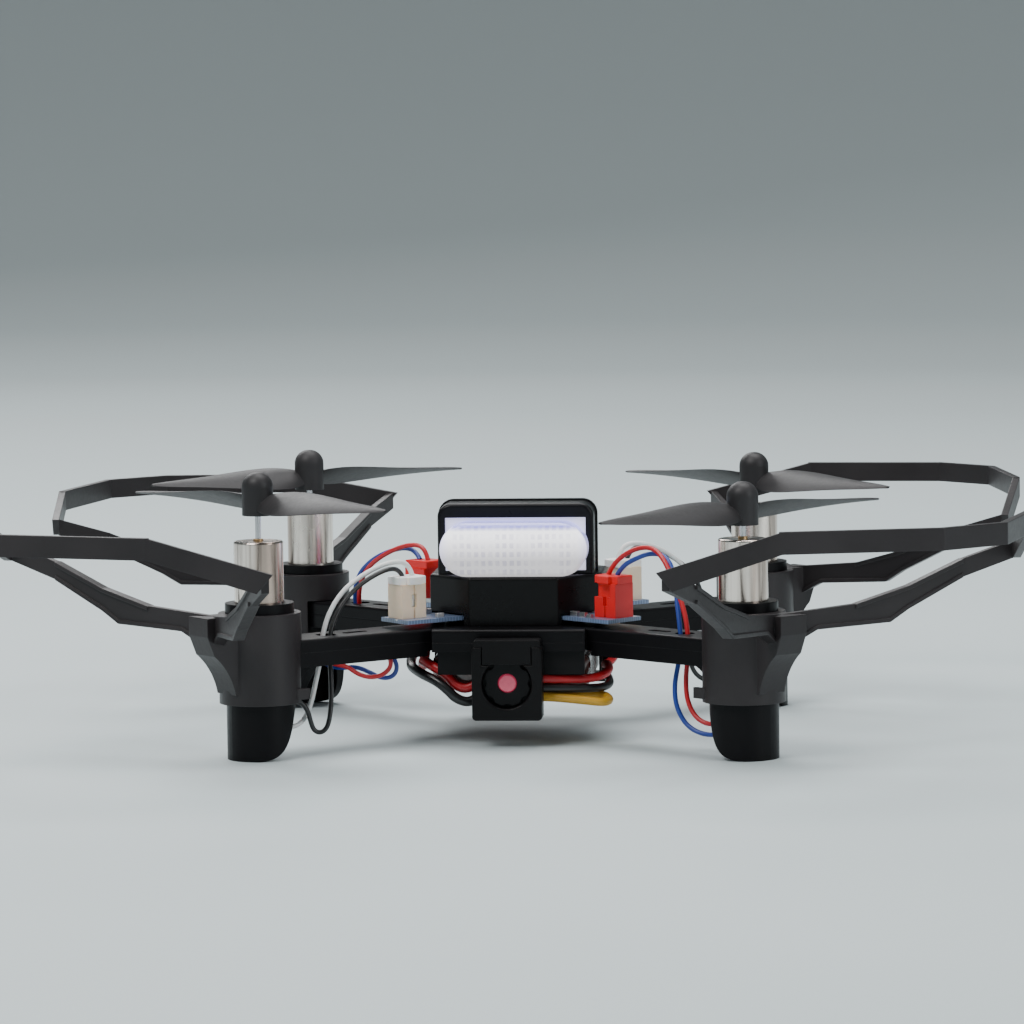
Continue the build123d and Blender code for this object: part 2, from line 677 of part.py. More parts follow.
with BuildPart() as hoop:
    with BuildSketch(hoop_face) as arch:
        with Locations((0, hoop_middle)):
            Rectangle(2 * HOOP_HALF_X, hoop_height)
        fillet(arch.vertices().group_by(Axis.Y)[-1], radius=2.4)
    extrude(amount=-HOOP_DEPTH)
    rounds = hoop.faces().sort_by(Axis.Y)[0].outer_wire().edges()
    fillet(rounds.filter_by(lambda e: e.center().Z > HOUSING_TOP + 0.5), radius=0.7)
    # thin rib round the back edge
    with BuildSketch(hoop_face.offset(-HOOP_DEPTH)) as rib:
        with Locations((0, hoop_middle + RIB_PROUD / 2)):
            Rectangle(2 * (HOOP_HALF_X + RIB_PROUD), hoop_height + RIB_PROUD)
        fillet(rib.vertices().group_by(Axis.Y)[-1], radius=2.7)
    extrude(amount=RIB_WIDTH)
    with BuildSketch(hoop_face):
        with Locations((0, (window_low + window_high) / 2)):
            Rectangle(2 * (HOOP_HALF_X - HOOP_LEG), window_high - window_low)
    extrude(amount=-HOOP_DEPTH, mode=Mode.SUBTRACT)
finish(hoop, "lamp_hoop")

LAMP_BASE_FRONT = HOOP_FRONT + 0.4
LAMP_BASE_BACK = HOOP_FRONT + 4.5
with BuildPart() as lamp_base:
    bar((BODY_X - HOOP_HALF_X + HOOP_LEG, LAMP_BASE_FRONT, window_low),
        (BODY_X + HOOP_HALF_X - HOOP_LEG, LAMP_BASE_BACK, window_high))
finish(lamp_base, "lamp_base")

LENS_RIM_BACK = HOOP_FRONT - 0.1
LENS_WALL = 1.2
LAMP_BOARD_FRONT = LAMP_BASE_FRONT - 1.1
lens_back = Plane(origin=(BODY_X, LENS_RIM_BACK, LENS_Z), x_dir=(1, 0, 0), z_dir=(0, -1, 0))
with BuildPart() as lens:
    with BuildSketch(lens_back):
        SlotOverall(LENS_LENGTH, LENS_HEIGHT)
    extrude(amount=LENS_RIM_BACK - LENS_FRONT)
    fillet(lens.faces().sort_by(Axis.Y)[0].edges(), radius=1.0)
    with BuildSketch(lens_back):
        SlotOverall(LENS_LENGTH - 2 * LENS_WALL, LENS_HEIGHT - 2 * LENS_WALL)
    extrude(amount=LENS_RIM_BACK - LENS_FRONT - LENS_WALL, mode=Mode.SUBTRACT)
finish(lens, "lamp_lens")

with BuildPart() as lamp_board:
    bar((BODY_X - 9.5, LAMP_BOARD_FRONT, LENS_Z - 3.2), (BODY_X + 9.5, LAMP_BASE_FRONT, LENS_Z + 3.2))
finish(lamp_board, "lamp_board")

LED_COLUMNS = 6
LED_ROWS = 2
LED_PITCH = 3.0
LED_SIZE = 1.6
LED_HEIGHT = 0.7
with BuildPart() as leds:
    with BuildSketch(Plane(origin=(BODY_X, LAMP_BOARD_FRONT, LENS_Z), x_dir=(1, 0, 0), z_dir=(0, -1, 0))):
        with GridLocations(LED_PITCH, LED_PITCH, LED_COLUMNS, LED_ROWS):
            Rectangle(LED_SIZE, LED_SIZE)
    extrude(amount=LED_HEIGHT)
finish(leds, "lamp_leds")


# ---------------------------------------------------------------- camera
camera_face = Plane(origin=(0, CASE_FRONT, 0), x_dir=(1, 0, 0), z_dir=(0, -1, 0))
TONGUE_HALF = 4.25
TONGUE_BOTTOM = 14.6
case_middle = (CASE_BOTTOM + CASE_TOP) / 2
case_depth = CASE_BACK - CASE_FRONT
RING_FRONT = CASE_FRONT + 1.35
RING_DEPTH = 1.0
STEM_R = 2.2
STEM_LENGTH = 0.65
STEM_GAP = 0.05
WELL_DEPTH = RING_FRONT + RING_DEPTH + 0.1 - CASE_FRONT

with BuildPart() as case:
    with BuildSketch(camera_face) as face:
        with Locations((0, case_middle)):
            Rectangle(2 * CASE_HALF, CASE_TOP - CASE_BOTTOM)
        fillet(face.vertices(), radius=0.7)
    extrude(amount=-case_depth)
    with BuildSketch(camera_face):
        with Locations((0, (TONGUE_BOTTOM + CASE_TOP + 1) / 2)):
            Rectangle(2 * TONGUE_HALF + 0.2, CASE_TOP + 1 - TONGUE_BOTTOM)
    extrude(amount=-1.3, mode=Mode.SUBTRACT)
    with BuildSketch(camera_face):
        with Locations((0, FOCUS_Z)):
            Circle(FOCUS_R + 0.3)
    extrude(amount=-WELL_DEPTH, mode=Mode.SUBTRACT)
    with BuildSketch(camera_face):
        with Locations((0, FOCUS_Z)):
            Circle(STEM_R + STEM_GAP)
    extrude(amount=-WELL_DEPTH - 1.0, mode=Mode.SUBTRACT)
    # pocket for the sensor board
    with Locations((0, CASE_BACK - 0.95, FOCUS_Z)):
        Box(8.0, 0.9, 8.0, mode=Mode.SUBTRACT)
    fillet(case.faces().sort_by(Axis.Y)[0].outer_wire().edges().filter_by(
        lambda e: e.center().Z < CASE_TOP - 1), radius=0.3)
finish(case, "camera_case")

with BuildPart() as bracket:
    bar((-5.85, CASE_FRONT + 0.1, CASE_TOP), (5.85, -PLATE_HALF_Y, CASE_TOP + 1.1))
    bar((-TONGUE_HALF, CASE_FRONT + 0.1, TONGUE_BOTTOM + 0.1), (TONGUE_HALF, CASE_FRONT + 1.2, CASE_TOP))
    fillet(bracket.edges().filter_by(Axis.Y).group_by(Axis.Z)[-1], radius=0.5)
finish(bracket, "camera_bracket")

NOTCHES = 8
ring_face = Plane(origin=(0, RING_FRONT, FOCUS_Z), x_dir=(1, 0, 0), z_dir=(0, -1, 0))
GLASS_R = 1.7
GLASS_SINK = 0.7
with BuildPart() as ring:
    with BuildSketch(ring_face):
        Circle(FOCUS_R)
        with PolarLocations(FOCUS_R + 0.55, NOTCHES):
            Circle(0.95, mode=Mode.SUBTRACT)
    extrude(amount=-RING_DEPTH)
    with BuildSketch(ring_face):
        Circle(STEM_R)
    extrude(amount=-RING_DEPTH - STEM_LENGTH)
    with BuildSketch(ring_face):
        Circle(GLASS_R)
    extrude(amount=-GLASS_SINK, mode=Mode.SUBTRACT)
finish(ring, "focus_ring")

with BuildPart() as glass:
    with BuildSketch(ring_face.offset(-GLASS_SINK)):
        Circle(GLASS_R)
    extrude(amount=0.55)
    fillet(glass.faces().sort_by(Axis.Y)[0].edges(), radius=0.4)
finish(glass, "lens_glass")

with BuildPart() as camera_board:
    bar((-3.9, CASE_BACK - 1.25, FOCUS_Z - 3.9), (3.9, CASE_BACK - 0.5, FOCUS_Z + 3.9))
finish(camera_board, "camera_board")


# ---------------------------------------------------------------- battery
TRAY_WALL_FRONT = -19.0
TRAY_WALL_BACK = -17.8
TRAY_BACK = 21.1
TRAY_FRONT_LIP = 12.3
TRAY_BACK_LIP = 11.0
TRAY_PLATE = PLATE_BOTTOM - SCREW_HEAD
HOOK_FRONT = 5.0
HOOK_BACK = 13.0
TRAY_LEFT = -12.5
TRAY_RIGHT = 13.2
HOOK_GAP = 0.35
HOOK_INNER = PACK_HALF_X + HOOK_GAP
HOOK_THICK = 1.2
HOOK_LIP = 2.4
HOOK_ROOT = 12.0
HOOK_BOTTOM = 8.1

with BuildPart() as tray:
    bar((TRAY_LEFT, TRAY_WALL_FRONT, TRAY_PLATE), (TRAY_RIGHT, TRAY_BACK, PLATE_BOTTOM))
    bar((TRAY_LEFT, TRAY_WALL_FRONT, TRAY_FRONT_LIP), (TRAY_RIGHT, TRAY_WALL_BACK, TRAY_PLATE))
    bar((TRAY_LEFT, TRAY_BACK - 1.2, TRAY_BACK_LIP), (TRAY_RIGHT, TRAY_BACK, TRAY_PLATE))
    for side in (1, -1):
        for inner, low, high in ((HOOK_ROOT, TRAY_PLATE, PLATE_BOTTOM),
                                 (HOOK_INNER, HOOK_BOTTOM, TRAY_PLATE),
                                 (HOOK_INNER - HOOK_LIP, HOOK_BOTTOM, PACK_BOTTOM - 0.1)):
            near, far = sorted((side * inner, side * (HOOK_INNER + HOOK_THICK)))
            bar((near, HOOK_FRONT, low), (far, HOOK_BACK, high))
    with BuildSketch(Plane.XY.offset(TRAY_PLATE)):
        with Locations(*SCREW_PLACES):
            Circle(SCREW_HEAD_R + 0.1)
        with Locations(YELLOW_HOLE):
            Circle(YELLOW_HOLE_R)
    extrude(amount=PLATE_BOTTOM - TRAY_PLATE, mode=Mode.SUBTRACT)
finish(tray, "battery_tray")

with BuildPart() as pack:
    bar((-PACK_HALF_X, PACK_FRONT, PACK_BOTTOM), (PACK_HALF_X, PACK_BACK, PACK_TOP))
    fillet(pack.edges().filter_by(Axis.Z), radius=2.2)
    fillet(pack.edges().group_by(Axis.Z)[0], radius=1.6)
    fillet(pack.edges().group_by(Axis.Z)[-1], radius=1.6)
finish(pack, "battery_pack")

CIRCUIT_SIDE = -3.0
with BuildPart() as tab:
    bar((CIRCUIT_SIDE, -17.8, 9.4), (2.2, PACK_FRONT, 13.9))
finish(tab, "battery_circuit")


# ---------------------------------------------------------------- wires
PLUG_TOP = HEADER_TOP + PLUG_RISE
CAP = CAN_BOTTOM

MOTOR_LEADS = {
    "lead_front_left_white": [
        (-17.3, -13.9, PLUG_TOP), (-17.7, -14.2, 30.9), (-19.1, -15.3, 32.0), (-21.9, -17.2, 31.7),
        (-25.4, -19.3, 30.0), (-28.6, -21.8, 27.6), (-30.9, -24.3, 23.9), (-31.9, -26.0, 19.9),
        (-32.2, -26.6, 15.8), (-33.0, -27.5, 12.0), (-33.7, -28.8, 8.3), (-35.0, -30.4, 5.4),
        (-37.3, -32.4, 4.7), (-39.7, -34.6, 5.9), (-41.5, -36.3, 8.5), (-42.2, -36.9, 11.6),
        (-42.3, -36.8, 14.6), (-42.3, -36.8, CAP)],
    "lead_front_left_black": [
        (-18.9, -15.2, PLUG_TOP), (-19.4, -15.7, 30.5), (-21.0, -17.3, 30.9), (-23.7, -19.6, 29.8),
        (-26.8, -21.8, 27.6), (-29.3, -24.0, 24.4), (-30.6, -25.6, 20.6), (-30.6, -26.3, 16.8),
        (-30.3, -27.3, 13.2), (-30.1, -28.5, 10.0), (-30.2, -29.3, 7.4), (-30.5, -29.7, 5.4),
        (-31.0, -30.1, 4.2), (-32.0, -30.3, 3.65), (-33.0, -30.6, 4.1), (-33.5, -30.9, 5.6),
        (-33.9, -31.2, 7.6), (-35.0, -31.5, 9.2), (-36.6, -31.8, 9.3), (-38.3, -32.5, 8.5),
        (-39.7, -33.3, 9.3), (-40.5, -33.8, 11.0), (-40.6, -33.9, 14.3), (-40.6, -33.9, CAP)],
    "lead_front_right_red": [
        (17.3, -13.9, PLUG_TOP), (18.0, -14.5, 30.9), (20.0, -16.0, 32.9), (22.8, -17.7, 34.4),
        (25.6, -19.5, 34.5), (27.6, -21.4, 32.3), (29.2, -23.3, 28.7), (30.9, -25.2, 24.6),
        (31.7, -26.6, 20.4), (31.6, -27.0, 16.2), (31.2, -27.4, 12.2), (31.5, -28.3, 8.6),
        (33.2, -29.6, 5.7), (36.1, -31.4, 4.9), (38.9, -33.2, 6.9), (40.4, -34.0, 10.3),
        (40.6, -33.9, 14.0), (40.6, -33.9, CAP)],
    "lead_front_right_blue": [
        (18.9, -15.2, PLUG_TOP), (19.7, -15.6, 30.8), (22.0, -16.7, 32.3), (25.0, -18.1, 33.5),
        (27.7, -19.8, 33.1), (29.2, -21.6, 30.2), (29.6, -23.3, 26.2), (30.1, -24.9, 22.2),
        (30.5, -25.8, 18.4), (29.9, -26.2, 14.8), (29.2, -26.9, 11.2), (29.6, -28.0, 7.5),
        (31.6, -29.2, 4.3), (35.0, -31.1, 3.1), (38.6, -33.7, 4.1), (41.4, -36.1, 6.9),
        (42.5, -37.0, 10.6), (42.3, -36.8, 14.1), (42.3, -36.8, CAP)],
    "lead_back_left_red": [
        (-17.3, 13.9, PLUG_TOP), (-17.7, 14.2, 31.0), (-19.2, 15.2, 32.1), (-22.2, 16.6, 31.7),
        (-26.0, 18.4, 29.9), (-29.2, 20.8, 27.4), (-31.0, 23.4, 23.9), (-31.4, 25.1, 20.0),
        (-30.8, 25.8, 16.0), (-28.7, 25.0, 13.3), (-26.1, 24.1, 11.4), (-25.3, 24.4, 9.0),
        (-26.8, 25.8, 7.0), (-29.4, 27.4, 6.1), (-32.1, 29.0, 6.5), (-34.5, 30.8, 7.9),
        (-37.0, 32.2, 8.1), (-39.3, 33.2, 8.7), (-40.5, 33.8, 11.5), (-40.6, 33.9, 14.5),
        (-40.6, 33.9, CAP)],
    "lead_back_left_blue": [
        (-18.9, 15.2, PLUG_TOP), (-19.5, 15.9, 30.5), (-21.4, 17.9, 31.3), (-24.6, 20.2, 30.6),
        (-28.2, 22.2, 28.9), (-31.2, 24.4, 26.0), (-32.4, 26.3, 22.2), (-31.9, 27.0, 18.3),
        (-30.9, 27.3, 14.9), (-28.3, 26.4, 12.5), (-25.6, 25.4, 10.9), (-24.4, 25.8, 8.5),
        (-25.3, 27.1, 6.4), (-27.7, 28.5, 5.8), (-30.3, 30.2, 6.9), (-32.9, 31.8, 7.7),
        (-35.8, 33.4, 7.2), (-38.8, 35.1, 7.5), (-41.2, 36.4, 9.4), (-42.2, 36.9, 12.2),
        (-42.3, 36.8, 14.9), (-42.3, 36.8, CAP)],
    "lead_back_right_white": [
        (17.3, 13.9, PLUG_TOP), (17.8, 14.2, 31.0), (19.4, 15.1, 32.2), (22.6, 16.8, 31.9),
        (26.2, 19.1, 30.0), (29.2, 21.8, 27.0), (30.7, 24.2, 23.2), (31.0, 25.4, 19.2),
        (31.4, 25.8, 15.2), (32.4, 26.4, 11.6), (34.2, 28.2, 8.5), (36.9, 30.8, 7.2),
        (39.4, 33.0, 8.9), (40.6, 34.0, 12.0), (40.6, 33.9, 14.8), (40.6, 33.9, CAP)],
    "lead_back_right_black": [
        (18.9, 15.2, PLUG_TOP), (19.5, 15.7, 30.8), (21.2, 17.2, 31.6), (24.2, 19.7, 30.6),
        (27.5, 22.4, 28.5), (30.4, 24.9, 25.6), (32.0, 26.7, 21.8), (32.0, 27.4, 17.8),
        (30.9, 27.4, 14.0), (29.7, 27.4, 10.6), (29.9, 27.9, 7.4), (32.0, 29.1, 5.2),
        (35.2, 31.4, 4.9), (38.6, 34.2, 5.5), (41.2, 36.3, 7.9), (42.4, 37.0, 11.2),
        (42.3, 36.8, 14.4), (42.3, 36.8, CAP)],
}
for name, points in MOTOR_LEADS.items():
    lead(name, points, MOTOR_LEAD)

lead("battery_lead_black", [
    (CIRCUIT_SIDE, -16.9, 10.4), (-4.7, -17.3, 9.1), (-6.9, -18.4, 7.3), (-9.3, -18.9, 8.0),
    (-11.0, -18.8, 9.8), (-13.0, -18.0, 11.2), (-15.7, -16.3, 12.2), (-17.7, -13.0, 13.0),
    (-18.2, -9.4, 13.4), (-18.5, -6.1, 13.6), (-18.2, -3.6, 14.5), (-18.0, -2.5, 15.8),
    (-18.0, -2.3, EAR_CEILING)],
    BATTERY_LEAD)
lead("battery_lead_red", [
    (CIRCUIT_SIDE, -16.6, 12.9), (-4.9, -16.9, 11.6), (-7.2, -17.6, 9.6), (-9.5, -17.5, 10.1),
    (-11.2, -16.8, 12.2), (-13.5, -16.4, 13.4), (-15.3, -13.9, 14.2), (-15.9, -10.9, 13.8),
    (-16.2, -7.8, 12.5), (-16.4, -5.0, 12.9), (-16.3, -3.0, 14.0), (-16.2, -2.2, 15.6),
    (-16.2, -2.0, EAR_CEILING)],
    BATTERY_LEAD)
lead("camera_wire_red", [
    (3.0, CASE_BACK, 11.5), (3.7, -18.7, 11.5), (6.0, -18.4, 11.5), (9.4, -18.0, 11.4),
    (12.7, -17.2, 11.3), (15.6, -16.1, 11.5), (17.3, -13.9, 12.4), (16.9, -11.2, 13.3),
    (16.0, -8.6, 12.8), (16.8, -5.8, 12.8), (17.8, -3.6, 14.0), (18.0, -2.5, 15.5),
    (18.0, -2.3, EAR_CEILING)],
    CAMERA_LEAD)
lead("camera_wire_black", [
    (3.0, CASE_BACK, 9.9), (3.7, -18.7, 9.9), (6.0, -18.3, 9.9), (9.6, -18.1, 9.8),
    (13.1, -17.4, 9.7), (15.9, -15.9, 9.6), (17.3, -13.4, 9.9), (17.0, -10.4, 10.6),
    (16.2, -7.5, 11.1), (15.9, -4.9, 12.0), (16.2, -2.9, 13.6), (16.3, -2.1, 15.4),
    (16.3, -2.0, EAR_CEILING)],
    CAMERA_LEAD)
lead("camera_wire_yellow", [
    (3.0, CASE_BACK, 8.3), (3.7, -18.7, 8.3), (5.8, -18.4, 8.3), (8.6, -18.7, 8.2),
    (11.6, -18.8, 7.9), (14.2, -18.65, 7.6), (16.0, -18.5, 7.4), (17.2, -17.7, 7.4),
    (17.4, -16.3, 7.7), (16.6, -15.1, 8.1), (14.9, -14.8, 8.4), (12.1, -15.5, 8.4),
    (8.8, -16.4, 8.2), (6.2, -16.8, 8.8), (4.7, -16.6, 11.0), (4.2, -16.6, 14.7),
    (*YELLOW_HOLE, SEAM)],
    CAMERA_LEAD)
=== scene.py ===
"""Looks for the small racing quadcopter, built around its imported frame."""

import json
import math

import bmesh
import bpy
from mathutils import Matrix, Vector


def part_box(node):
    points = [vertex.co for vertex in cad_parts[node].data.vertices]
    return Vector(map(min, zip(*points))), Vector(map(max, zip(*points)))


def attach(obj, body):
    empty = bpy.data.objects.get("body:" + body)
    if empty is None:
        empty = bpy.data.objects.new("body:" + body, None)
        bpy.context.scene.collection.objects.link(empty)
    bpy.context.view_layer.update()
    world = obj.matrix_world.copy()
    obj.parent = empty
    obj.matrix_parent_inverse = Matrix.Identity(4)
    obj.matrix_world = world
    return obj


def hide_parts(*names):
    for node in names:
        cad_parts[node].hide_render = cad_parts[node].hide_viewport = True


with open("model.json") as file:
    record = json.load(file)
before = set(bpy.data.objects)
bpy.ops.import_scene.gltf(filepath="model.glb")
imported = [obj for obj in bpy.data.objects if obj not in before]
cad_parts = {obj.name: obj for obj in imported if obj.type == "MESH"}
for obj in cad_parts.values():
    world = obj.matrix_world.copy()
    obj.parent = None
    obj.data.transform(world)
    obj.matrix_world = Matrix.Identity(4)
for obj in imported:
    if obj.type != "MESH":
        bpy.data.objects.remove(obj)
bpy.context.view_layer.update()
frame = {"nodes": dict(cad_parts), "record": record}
NODES = frame["nodes"]
MM = 0.001

# ---------------------------------------------------------------- camera
CAMERA_TARGET = Vector((-0.9, 0.0, 23.0)) * MM
CAMERA_DISTANCE = 799.4 * MM
CAMERA_YAW = 0.0828
CAMERA_RISE = 0.1052
CAMERA_ROLL = -0.013
CAMERA_TILT = 0.0202        # the view is tilted up from the target by this much
LENS = 157.2                # millimetres, on the sensor below
SENSOR = 36
NEAREST = 0.01              # metres, the part of the view that is drawn
FARTHEST = 60


def add_camera():
    """The camera at the photograph's view."""
    flat = math.cos(CAMERA_RISE)
    back = Vector((math.sin(CAMERA_YAW) * flat, -math.cos(CAMERA_YAW) * flat, math.sin(CAMERA_RISE)))
    right = Vector((math.cos(CAMERA_YAW), math.sin(CAMERA_YAW), 0))
    ahead = -back
    up = right.cross(ahead)
    level_right = right
    right = level_right * math.cos(CAMERA_ROLL) + up * math.sin(CAMERA_ROLL)
    up = up * math.cos(CAMERA_ROLL) - level_right * math.sin(CAMERA_ROLL)
    place = CAMERA_TARGET + back * CAMERA_DISTANCE
    view = ahead * math.cos(CAMERA_TILT) + up * math.sin(CAMERA_TILT)
    top = up * math.cos(CAMERA_TILT) - ahead * math.sin(CAMERA_TILT)
    data = bpy.data.cameras.new("camera")
    data.lens = LENS
    data.sensor_width = SENSOR
    data.clip_start = NEAREST
    data.clip_end = FARTHEST
    camera = bpy.data.objects.new("camera", data)
    bpy.context.scene.collection.objects.link(camera)
    camera.matrix_world = Matrix(((right.x, top.x, -view.x, place.x),
                                  (right.y, top.y, -view.y, place.y),
                                  (right.z, top.z, -view.z, place.z),
                                  (0, 0, 0, 1)))
    bpy.context.scene.camera = camera


add_camera()


# ---------------------------------------------------------------- node helpers
MIX_FACTOR = 0              # sockets of a Mix node that mixes colours
MIX_FIRST = 6
MIX_SECOND = 7
MIX_RESULT = 2
EDGE_GAIN = 6.0             # how fast the mask of an edge rises
EDGE_REACH = 0.35           # millimetres, the width of a worn edge
EDGE_WEAR = 0.35            # how much of the paler colour a worn edge takes


class Shader:
    """A material's node tree with one Principled shader, and short ways to add to it."""

    def __init__(self, name, color, rough, metallic=0.0):
        self.material = bpy.data.materials.new(name)
        self.material.use_nodes = True
        self.tree = self.material.node_tree
        self.nodes = self.tree.nodes
        self.bsdf = self.nodes["Principled BSDF"]
        self.set("Base Color", (*color, 1.0))
        self.set("Roughness", rough)
        self.set("Metallic", metallic)
        self.coords = self.nodes.new("ShaderNodeTexCoord").outputs["Object"]
        self.normal = None

    def set(self, socket, value):
        self.bsdf.inputs[socket].default_value = value

    def link(self, source, target):
        self.tree.links.new(source, target)

    def noise(self, scale, detail=3.0, stretch=None):
        """A noise texture; stretch squeezes it along the axes."""
        node = self.nodes.new("ShaderNodeTexNoise")
        node.inputs["Scale"].default_value = scale
        node.inputs["Detail"].default_value = detail
        if stretch:
            mapping = self.nodes.new("ShaderNodeMapping")
            mapping.inputs["Scale"].default_value = stretch
            self.link(self.coords, mapping.inputs["Vector"])
            self.link(mapping.outputs["Vector"], node.inputs["Vector"])
        else:
            self.link(self.coords, node.inputs["Vector"])
        return node.outputs["Fac"]

    def spread(self, value, low, high, start=0.3, end=0.7):
        """Maps a 0 to 1 value onto low to high."""
        node = self.nodes.new("ShaderNodeMapRange")
        node.inputs["From Min"].default_value = start
        node.inputs["From Max"].default_value = end
        node.inputs["To Min"].default_value = low
        node.inputs["To Max"].default_value = high
        self.link(value, node.inputs["Value"])
        return node.outputs["Result"]

    def mix(self, factor, first, second):
        """Mixes two colours; each is a colour tuple or an output."""
        node = self.nodes.new("ShaderNodeMix")
        node.data_type = "RGBA"
        for socket, value in ((MIX_FACTOR, factor), (MIX_FIRST, first), (MIX_SECOND, second)):
            if isinstance(value, bpy.types.NodeSocket):
                self.link(value, node.inputs[socket])
            elif socket == MIX_FACTOR:
                node.inputs[socket].default_value = value
            else:
                node.inputs[socket].default_value = (*value, 1.0)
        return node.outputs[MIX_RESULT]

    def math(self, operation, first, second=0.0):
        """One step of arithmetic; each value is a number or an output."""
        node = self.nodes.new("ShaderNodeMath")
        node.operation = operation
        for socket, value in enumerate((first, second)):
            if isinstance(value, bpy.types.NodeSocket):
                self.link(value, node.inputs[socket])
            else:
                node.inputs[socket].default_value = value
        return node.outputs["Value"]

    def edges(self, radius):
        """A mask that is 1 along edges, where a rounded normal leaves the true one."""
        bevel = self.nodes.new("ShaderNodeBevel")
        bevel.samples = 4
        bevel.inputs["Radius"].default_value = radius
        geometry = self.nodes.new("ShaderNodeNewGeometry")
        dot = self.nodes.new("ShaderNodeVectorMath")
        dot.operation = "DOT_PRODUCT"
        self.link(bevel.outputs["Normal"], dot.inputs[0])
        self.link(geometry.outputs["Normal"], dot.inputs[1])
        lack = self.math("SUBTRACT", 1.0, dot.outputs["Value"])
        return self.math("MINIMUM", self.math("MULTIPLY", lack, EDGE_GAIN), 1.0)

    def round_edges(self, radius):
        """Catches light along edges as a small moulded radius does."""
        bevel = self.nodes.new("ShaderNodeBevel")
        bevel.samples = 6
        bevel.inputs["Radius"].default_value = radius
        self.normal = bevel.outputs["Normal"]
        self.link(self.normal, self.bsdf.inputs["Normal"])

    def bump(self, height, distance, strength):
        """Raises the surface by a height output, on top of any rounded edges."""
        node = self.nodes.new("ShaderNodeBump")
        node.inputs["Distance"].default_value = distance
        node.inputs["Strength"].default_value = strength
        self.link(height, node.inputs["Height"])
        if self.normal:
            self.link(self.normal, node.inputs["Normal"])
        self.normal = node.outputs["Normal"]
        self.link(self.normal, self.bsdf.inputs["Normal"])

    def paint(self, output):
        self.link(output, self.bsdf.inputs["Base Color"])

    def roughen(self, output):
        self.link(output, self.bsdf.inputs["Roughness"])


def moulded(name, color, rough, grain=0.02, edge=0.25, coat=0.0, shine=0.13):
    """Moulded plastic: fine grain, faint flow marks, softened and slightly paler edges."""
    look = Shader(name, color, rough)
    look.round_edges(edge * MM)
    look.set("Specular IOR Level", shine)
    flow = look.noise(55, 4)
    speck = look.noise(1400, 2)
    dark = tuple(c * 0.8 for c in color)
    light = tuple(min(1, c * 1.25 + 0.001) for c in color)
    body = look.mix(look.spread(flow, 0, 1), dark, light)
    worn = tuple(min(1, c * 1.9 + 0.012) for c in color)
    patches = look.spread(look.noise(260, 5), 0, EDGE_WEAR, 0.35, 0.65)
    look.paint(look.mix(look.math("MULTIPLY", look.edges(EDGE_REACH * MM), patches), body, worn))
    look.roughen(look.math("ADD", look.spread(flow, rough - 0.06, rough + 0.05),
                           look.spread(speck, -0.03, 0.03)))
    look.bump(speck, grain * MM, 0.6)
    if coat:
        look.set("Coat Weight", coat)
        look.set("Coat Roughness", 0.25)
    return look.material


def metal(name, color, rough):
    """Plated or turned metal with faint drawing marks."""
    look = Shader(name, color, rough, metallic=1.0)
    look.round_edges(0.15 * MM)
    lines = look.noise(420, 3, (1, 1, 12))
    smudge = look.noise(140, 4)
    look.paint(look.mix(look.spread(smudge, 0, 1), color, tuple(c * 0.86 for c in color)))
    look.roughen(look.math("ADD", look.spread(lines, rough * 0.7, rough * 1.3),
                           look.spread(smudge, 0.0, 0.06)))
    look.bump(lines, 0.004 * MM, 0.5)
    return look.material


def drawn_can(name):
    """Bright nickel can: fine lines run along it, and painted reflections, warm and dark, lie in bands
    round it.
    """
    look = Shader(name, (0.8, 0.72, 0.66), 0.16, metallic=1.0)
    look.round_edges(0.15 * MM)
    fine = look.noise(900, 3, (1, 1, 0.03))
    # painted reflections: these bands turn the can's colour warm and pale or dark, standing in for what it
    # reflects
    painted_reflection_bands = look.noise(260, 3, (1, 1, 0.05))
    smudge = look.noise(180, 5, (1, 1, 0.6))
    painted_reflections = look.mix(look.spread(painted_reflection_bands, 0, 1, 0.42, 0.6), (0.95, 0.85, 0.77), (0.48, 0.38, 0.32))
    lined = look.mix(look.spread(fine, 0, 0.6, 0.5, 0.68), painted_reflections, (0.2, 0.16, 0.14))
    look.paint(look.mix(look.spread(smudge, 0, 0.25, 0.5, 0.75), lined, (0.62, 0.55, 0.5)))
    look.roughen(look.spread(smudge, 0.12, 0.3))
    look.bump(fine, 0.01 * MM, 0.6)
    return look.material


def insulation(name, color, rough=0.38):
    """Soft wire insulation, a little translucent, with faint handling marks."""
    look = Shader(name, color, rough)
    marks = look.noise(300, 4)
    look.paint(look.mix(look.spread(marks, 0, 1), color, tuple(c * 0.84 for c in color)))
    look.roughen(look.spread(marks, rough - 0.06, rough + 0.1))
    look.bump(look.noise(900, 2), 0.008 * MM, 0.5)
    look.set("Subsurface Weight", 0.15)
    look.set("Subsurface Radius", (0.5 * MM, 0.3 * MM, 0.3 * MM))
    look.set("Coat Weight", 0.25)
    look.set("Coat Roughness", 0.3)
    return look.material


def milky(name, color, rough, depth=0.4):
    """Unfilled nylon of the plugs and sockets."""
    look = Shader(name, color, rough)
    look.round_edges(0.2 * MM)
    cloud = look.noise(240, 4)
    look.paint(look.mix(look.spread(cloud, 0, 1), color, tuple(c * 0.9 for c in color)))
    look.roughen(look.spread(cloud, rough - 0.05, rough + 0.08))
    look.set("Subsurface Weight", depth)
    look.set("Subsurface Radius", (0.9 * MM, 0.6 * MM, 0.4 * MM))
    look.bump(look.noise(1600, 2), 0.006 * MM, 0.5)
    return look.material


